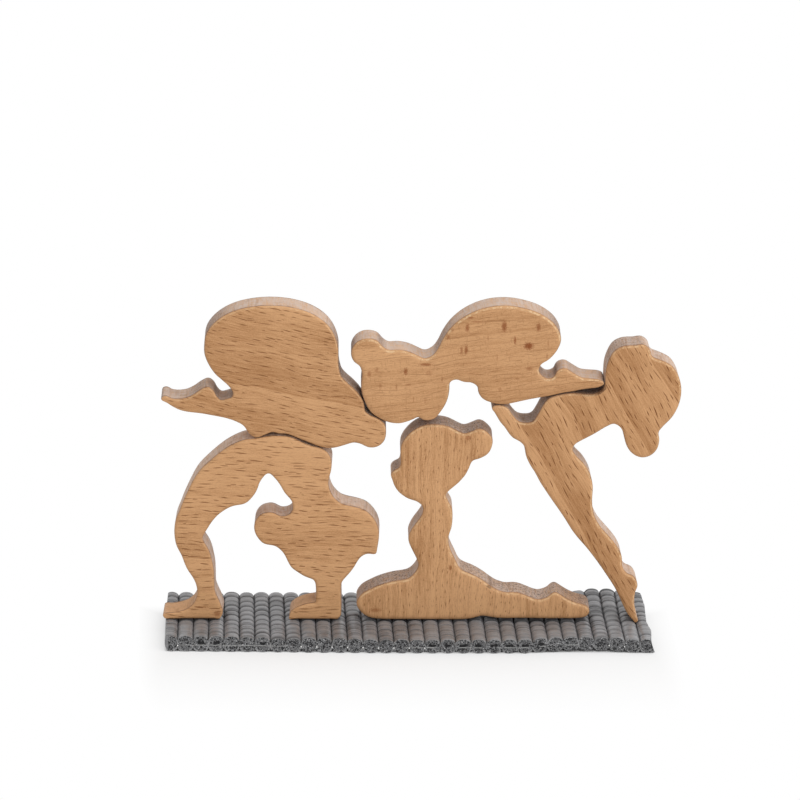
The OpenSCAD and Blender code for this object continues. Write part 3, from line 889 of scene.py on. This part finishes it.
def pitDepths(run, heights, left):
    # How deep pores, voids and tears hollow the cut faces, at each point along and up them.
    rng = np.random.default_rng(mat["pitSeed"])
    pits = [(rng.uniform(0, run[-1] / mm), rng.uniform(*mat["poreHeight"]), rng.uniform(*mat["poreRadius"]))
            for _ in range(mat["poreCount"])]
    pits += [(rng.uniform(0, mat["voidReach"]), rng.normal(*mat["voidHeight"]),
              rng.uniform(*mat["voidRadius"])) for _ in range(mat["voidCount"])]
    for n in mat["tornCords"]:
        for side in mat["tornPlaces"]:
            place = (n * mat["cord"] - left) / mm + side + rng.uniform(-0.2, 0.2)
            pits.append((place, rng.normal(*mat["tornHeight"]), rng.uniform(*mat["tornRadius"])))
    hollow = np.zeros(heights.shape)
    for place, height, radius in np.array(pits) * mm:
        near = np.nonzero(np.abs(run - place) < 2 * radius)[0]
        off = np.hypot((run[near] - place)[:, None], heights[near] - height) / radius
        hollow[near] = np.maximum(hollow[near], 1.2 * radius * np.exp(-1.5 * off ** 2))
    return hollow


def matPiece():
    low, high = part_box("mat_foam")
    cord, half = mat["cord"], mat["cord"] / 2
    first = int(math.floor((low.x + half) / cord))
    numbers = range(first, int(math.floor((high.x - 1e-6 + half) / cord)) + 1)
    even = np.linspace(-1, 1, 2 * mat["across"] + 1)[:-1]
    spread = 0.45 * even + 0.55 * np.sin(even * math.pi / 2)
    columns = [(n * cord + s * half, n) for n in numbers for s in spread]
    columns = [c for c in columns if low.x + 0.05 * mm < c[0] < high.x - 0.05 * mm]
    columns = [(low.x, columns[0][1])] + columns + [(high.x, columns[-1][1])]
    x, number = (np.array(values) for values in zip(*columns))
    s = np.clip((x - number * cord) / half, -1, 1)   # from one groove beside a cord to the other
    y = np.linspace(low.y, high.y, int(round((high.y - low.y) / mat["rowStep"])) + 1)

    main, fine = {}, {}
    for n in range(numbers[0] - 1, numbers[-1] + 2):
        folds, strengths, thin, thinStrengths = cordFolds(n, low.y, high.y)
        main[n] = pillows(y, folds, strengths)
        fine[n] = pillows(y, thin, thinStrengths)
    beside = [n + (1 if t > 0 else -1) for n, t in zip(number, s)]
    puff, puffBeside = (np.array([main[n] for n in names]) for names in (number, beside))
    thin, thinBeside = (np.array([fine[n] for n in names]) for names in (number, beside))
    atGroove = np.abs(s) > 0.999
    puff[atGroove] = (puff + puffBeside)[atGroove] / 2
    thin[atGroove] = (thin + thinBeside)[atGroove] / 2
    strength = foldStrength(x[:, None], y[None, :])
    arc = np.sqrt(np.clip(1 - np.abs(s) ** mat["fullness"], 0, 1))[:, None]
    fromCut = np.minimum(y - low.y, high.y - y)[None, :] / (0.6 * mm)
    top = (high.z - mat["lobeHeight"] * (1 - arc)
           - mat["foldDepth"] * (1 - puff) * strength * (1 + 0.7 * (1 - arc))
           - mat["fineDepth"] * (1 - thin) * (0.5 + 0.5 * strength)
           - mat["cutRound"] * np.clip(1 - fromCut, 0, 1) ** 2)
    nearGroove = np.clip((np.abs(s) - 0.75) / 0.25, 0, 1)[:, None]
    sway = mat["beadSway"] * nearGroove * np.sign(s)[:, None] * (
        (puff - puffBeside) + 0.8 * (thin - thinBeside)) * (0.5 + 0.5 * strength)
    across = x[:, None] + sway
    across[0], across[-1] = low.x, high.x
    under = mat["underHeight"] * (1 - arc)
    topPoints, underPoints = (np.stack([np.broadcast_to(part, top.shape) for part in corner], axis=2)
                              for corner in ((across, y, top), (x[:, None], y, under)))

    wide, deep = top.shape
    topAt = np.arange(wide * deep).reshape(wide, deep)
    underAt = topAt + topAt.size
    ring = ([(i, 0) for i in range(wide)] + [(wide - 1, j) for j in range(1, deep)]
            + [(i, deep - 1) for i in range(wide - 2, -1, -1)] + [(0, j) for j in range(deep - 2, 0, -1)])
    ringI, ringJ = np.array(ring).T
    outward = np.zeros((len(ring), 1, 3))
    outward[ringJ == 0, 0, 1] = -1
    outward[ringJ == deep - 1, 0, 1] = 1
    outward[(ringI == wide - 1) & (ringJ > 0) & (ringJ < deep - 1), 0, 0] = 1
    lower, upper = underPoints[ringI, ringJ], topPoints[ringI, ringJ]
    share = np.linspace(0, 1, mat["faceRows"] + 2)[None, 1:-1, None]
    wall = lower[:, None, :] * (1 - share) + upper[:, None, :] * share
    run = np.concatenate([[0], np.cumsum(np.linalg.norm(np.diff(lower[:, :2], axis=0), axis=1))])
    hollow = pitDepths(run, wall[..., 2], low.x)
    hollow[wall[..., 0] < low.x + mat["skinnedEnd"]] = 0
    wall = wall - outward * hollow[..., None]
    wallAt = 2 * topAt.size + np.arange(hollow.size).reshape(hollow.shape)
    whole = np.column_stack([underAt[ringI, ringJ], wallAt, topAt[ringI, ringJ]])
    whole = np.vstack([whole, whole[:1]])

    points = settled(np.vstack([part.reshape(-1, 3) for part in (topPoints, underPoints, wall)]))
    faces = gridFaces(topAt) + gridFaces(underAt, flip=True)
    skinned = len(faces)
    faces += gridFaces(whole)
    centre = points[np.array(faces[skinned:])].mean(axis=1)
    kinds = np.concatenate([np.zeros(skinned, int), centre[:, 0] >= low.x + mat["skinnedEnd"]])

    mesh = bpy.data.meshes.new("mat_foam")
    mesh.from_pydata(points.tolist(), [], faces)
    mesh.polygons.foreach_set("material_index", kinds.tolist())
    mesh.polygons.foreach_set("use_smooth", [True] * len(faces))
    foldShade, rim, pitShade = np.zeros((3, len(points)))
    # Painted shade in the folds' creases, the grooves between cords and at the right back.
    shaded = between(x[:, None], 64, 8) * between(y[None, :], -6, 10)
    foldShade[:top.size] = ((1 - puff) * strength + 0.6 * (1 - thin) + 1.6 * np.clip(0.45 - arc, 0, 1)
                       + 0.1 * shaded).ravel()
    # Painted highlight on the skin just behind the cut in front.
    rim[:top.size] = np.broadcast_to(np.clip(1 - (y - low.y) / (0.45 * mm), 0, 1), top.shape).ravel()
    # Hollow depths, for the painted shade in the cut's pits.
    pitShade[2 * top.size:] = (hollow / (0.5 * mm)).ravel()
    for name, values in (("foldShade", foldShade), ("pitShade", pitShade), ("rim", rim)):
        mesh.attributes.new(name, "FLOAT", "POINT").data.foreach_set("value", values)
    faceOutward(mesh)
    mesh.update()
    return newPiece("mat_cords", mesh, foamSkinMaterial(), foamCutMaterial())


foamPiece = matPiece()
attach(foamPiece, "mat")
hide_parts("mat_foam")
print("mat ribbed and cut:", len(foamPiece.data.polygons), "faces")


# Net

net = {
    "thread": 0.35 * mm,           # radius
    "endRadius": 0.24 * mm,
    "stretchRadius": 0.17 * mm,
    "stretchHeight": 2.35 * mm,
    "stretchSway": 0.06 * mm,
    "stretchStep": 1.5,            # mm
    "stretchDepth": 0.11 * mm,     # how far behind the cut the bared threads lie
    "warpHeight": 2.18 * mm,
    "weftHeight": 2.85 * mm,
    "weftStep": 6.0 * mm,
    "shownEnd": -0.1 * mm,         # where a warp thread starts behind the cut in front
    "hiddenEnd": 0.9 * mm,
    "warpMargins": (1.6 * mm, 0.9 * mm),   # from the mat's edges to the threads' full width
    "weftMargins": (1.4 * mm, 0.8 * mm),
    "warpPoints": 15,
    "weftPoints": 96,
    "seed": 31,
    "sides": 8,
    "dark": (0.1, 0.1, 0.1),
    "light": (0.52, 0.52, 0.51),
    "pale": (0.85, 0.85, 0.83),    # the cut ends of the warp threads
    "shownWarps": (-93, -45, -39, -33, -27, -21, -15, -9, -3, 3, 75, 81),
    "frontStretches": ((-92, -49), (-5, 8), (12.5, 27), (31, 44), (48, 52.5), (57.5, 64)),
}


def netMaterial():
    material, shader, place = newMaterial("Polyester thread")
    drift = placeGroup(toneDrift, {"Place": place, "Size": 3.0, "Grain": 0.15})
    colour = mixColour(ramp(drift["Dust"], -0.4, 0.4), net["dark"], net["light"])
    colour = mixColour(painted(material.node_tree, "warp"), colour, net["pale"])
    dress(shader, {"Base Color": colour, "Roughness": 0.6})
    return material


def threadTube(points, radii, mesh, warp=0.0):
    # A closed tube through the points, added to a bmesh.
    kind = mesh.verts.layers.float.get("warp") or mesh.verts.layers.float.new("warp")
    points = [Vector(p) for p in settled(np.array(points))]
    rings = []
    for i, (p, radius) in enumerate(zip(points, radii)):
        ahead = points[min(i + 1, len(points) - 1)] - points[max(i - 1, 0)]
        side = ahead.cross(Vector((0, 0, 1))).normalized()
        up = side.cross(ahead).normalized()
        rings.append([mesh.verts.new(p + radius * (math.cos(a) * side + math.sin(a) * up))
                      for a in np.linspace(0, 2 * math.pi, net["sides"] + 1)[:-1]])
    for ring in rings:
        for point in ring:
            point[kind] = warp
    for a, b in zip(rings, rings[1:]):
        for j in range(net["sides"]):
            n = (j + 1) % net["sides"]
            mesh.faces.new((a[j], a[n], b[n], b[j]))
    mesh.faces.new(rings[0][::-1])
    mesh.faces.new(rings[-1])


def netPiece():
    low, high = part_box("mat_net")
    rng = np.random.default_rng(net["seed"])
    work = bmesh.new()
    cord, radius = mat["cord"], net["thread"]
    first = math.ceil((low.x + 1 * mm) / cord - 0.5)
    last = math.floor((high.x - 1 * mm) / cord - 0.5)
    for n in range(first, last + 1):
        x = (n + 0.5) * cord
        front = low.y + net["shownEnd" if round(x / mm) in net["shownWarps"] else "hiddenEnd"]
        ends = low.y + net["warpMargins"][0], high.y - net["warpMargins"][1]
        inner = np.linspace(*ends, net["warpPoints"])
        ways = [front, low.y + 1.2 * mm, *inner]
        radii = [net["endRadius"]] + [radius] * (len(ways) - 1)
        threadTube([(x, y, net["warpHeight"]) for y in ways], radii, work, 1.0)
    rows = int((high.y - low.y - net["weftStep"] / 2) / net["weftStep"])
    ways = np.linspace(low.x + net["weftMargins"][0], high.x - net["weftMargins"][1], net["weftPoints"])
    for i in range(rows):
        y = (i - (rows - 1) / 2) * net["weftStep"]
        threadTube([(x, y, net["weftHeight"]) for x in ways], [radius] * len(ways), work)
    for start, end in net["frontStretches"]:
        ways = np.arange(start, end, net["stretchStep"]) * mm
        sway = rng.normal(0, net["stretchSway"], len(ways))
        points = [(x, low.y + net["stretchDepth"] + abs(d), net["stretchHeight"] + d)
                  for x, d in zip(ways, sway)]
        threadTube(points, [net["stretchRadius"]] * len(ways), work)
    mesh = bpy.data.meshes.new("mat_net")
    work.to_mesh(mesh)
    work.free()
    faceOutward(mesh)
    mesh.polygons.foreach_set("use_smooth", [len(p.vertices) == 4 for p in mesh.polygons])
    return newPiece("mat_threads", mesh, netMaterial())


threads = netPiece()
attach(threads, "mat")
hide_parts("mat_net")
print("net laid")


# Floor, light and camera

studio = {
    "floorWhite": 0.8,
    "floorSize": 6.0,              # from its middle to each side
    "glowStart": 0.5,              # share of the floor at the mat's front that is seen as plain white
    "glowReach": 0.075,            # distance from the mat's front over which the share grows to all of it
    "glowSide": 7.0,               # how much faster it grows beside the mat
    "floorBack": (0.0, 0.03),      # places along Y between which the floor behind turns all white
    "sky": 0.7,                    # strength of the white room on the object
    "aim": (0.0, 0.0, 0.07),       # what the lamps point at
    "lights": (
        ("Top softbox", (0.25, 0.1, 1.1), 1.2, 3.5),
        ("Front softbox", (0.6, -1.6, 0.9), 1.0, 7.0),
        ("Right softbox", (1.5, -0.5, 0.9), 1.0, 8.0),
    ),
}


def seenPath(tree):
    # 1 for rays that see the studio, and 0 for those that light the object.
    path = addNode(tree, "ShaderNodeLightPath").outputs
    return calc("MAXIMUM", path["Is Camera Ray"], calc("MAXIMUM", path["Is Glossy Ray"],
                                                       path["Is Transmission Ray"]))


def floorPiece():
    # Plain white to the eye away from the mat, and paint that takes the shadow close to it.
    material = bpy.data.materials.new("Studio floor")
    tree = emptyTree(material)
    paint = addNode(tree, "ShaderNodeBsdfDiffuse", {"Color": [studio["floorWhite"]] * 3})
    glow = addNode(tree, "ShaderNodeEmission", {"Color": (1, 1, 1), "Strength": 1.0})
    spot = addNode(tree, "ShaderNodeNewGeometry").outputs["Position"]
    low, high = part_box("mat_foam")
    middle, half = (low + high) / 2, (high - low) / 2
    off = vectorCalc("ABSOLUTE", vectorCalc("SUBTRACT", spot, (middle.x, middle.y, 0.0)))
    away = vectorCalc("SUBTRACT", off, (half.x, half.y, 0.0))
    over = parts(away)
    clear = ramp(calc("MAXIMUM", over["X"], over["Y"]), -1.5 * mm, 0.5 * mm)
    away = vectorCalc("MAXIMUM", away, (0.0, 0.0, 0.0))
    away = vectorCalc("MULTIPLY", away, (studio["glowSide"], 1.0, 0.0))
    away = calc("DIVIDE", vectorCalc("LENGTH", away), studio["glowReach"])
    away = calc("POWER", calc("MINIMUM", away, 1.0), 0.8)
    white = timesPlus(away, 1.0 - studio["glowStart"], studio["glowStart"])
    white = calc("MAXIMUM", white, ramp(parts(spot)["Y"], *studio["floorBack"]))
    share = times(seenPath(tree), times(white, clear))
    mix = addNode(tree, "ShaderNodeMixShader", {0: share, 1: paint.outputs[0], 2: glow.outputs[0]})
    addNode(tree, "ShaderNodeOutputMaterial", {"Surface": mix.outputs[0]})
    layOut(tree)
    size = studio["floorSize"]
    mesh = bpy.data.meshes.new("floor")
    corners = [(x * size, y * size, 0) for x, y in ((-1, -1), (1, -1), (1, 1), (-1, 1))]
    mesh.from_pydata(corners, [], [(0, 1, 2, 3)])
    newPiece("floor", mesh, material)


def studioLight():
    world = bpy.data.worlds.new("Studio")
    bpy.context.scene.world = world
    tree = emptyTree(world)
    strength = addNode(tree, "ShaderNodeMix", {0: seenPath(tree), 2: studio["sky"], 3: 1.0}).outputs[0]
    sky = addNode(tree, "ShaderNodeBackground", {"Color": (1, 1, 1), "Strength": strength})
    addNode(tree, "ShaderNodeOutputWorld", {"Surface": sky.outputs[0]})
    layOut(tree)
    for name, place, size, watts in studio["lights"]:
        lamp = bpy.data.lights.new(name, "AREA")
        lamp.size = size
        lamp.energy = watts
        light = bpy.data.objects.new(name, lamp)
        light.location = place
        aim = Vector(studio["aim"]) - Vector(place)
        light.rotation_euler = aim.to_track_quat("-Z", "Y").to_euler()
        bpy.context.scene.collection.objects.link(light)


view = {
    "place": (-94.5 * mm, -2171.7 * mm, 708.37 * mm),
    "down": 15.795,                # degrees below level
    "turn": 2.309,                 # degrees to the right of straight ahead
    "roll": 0.921,
    "lens": 261.0,
    "sensor": 36.0,
    "farthest": 20.0,
}


def studioCamera():
    down, turn, roll = (math.radians(view[key]) for key in ("down", "turn", "roll"))
    ahead = Vector((math.sin(turn) * math.cos(down), math.cos(turn) * math.cos(down), -math.sin(down)))
    level = Vector((math.cos(turn), -math.sin(turn), 0.0))
    upright = level.cross(ahead)
    right = math.cos(roll) * level + math.sin(roll) * upright
    top = math.cos(roll) * upright - math.sin(roll) * level
    data = bpy.data.cameras.new("Camera")
    data.sensor_width = view["sensor"]
    data.lens = view["lens"]
    data.clip_end = view["farthest"]
    camera = bpy.data.objects.new("Camera", data)
    turned = Matrix((right, top, -ahead)).transposed().to_4x4()
    camera.matrix_world = Matrix.Translation(view["place"]) @ turned
    bpy.context.scene.collection.objects.link(camera)
    bpy.context.scene.camera = camera


floorPiece()
studioLight()
studioCamera()
bpy.context.scene.view_settings.view_transform = "Standard"
print("studio set up")
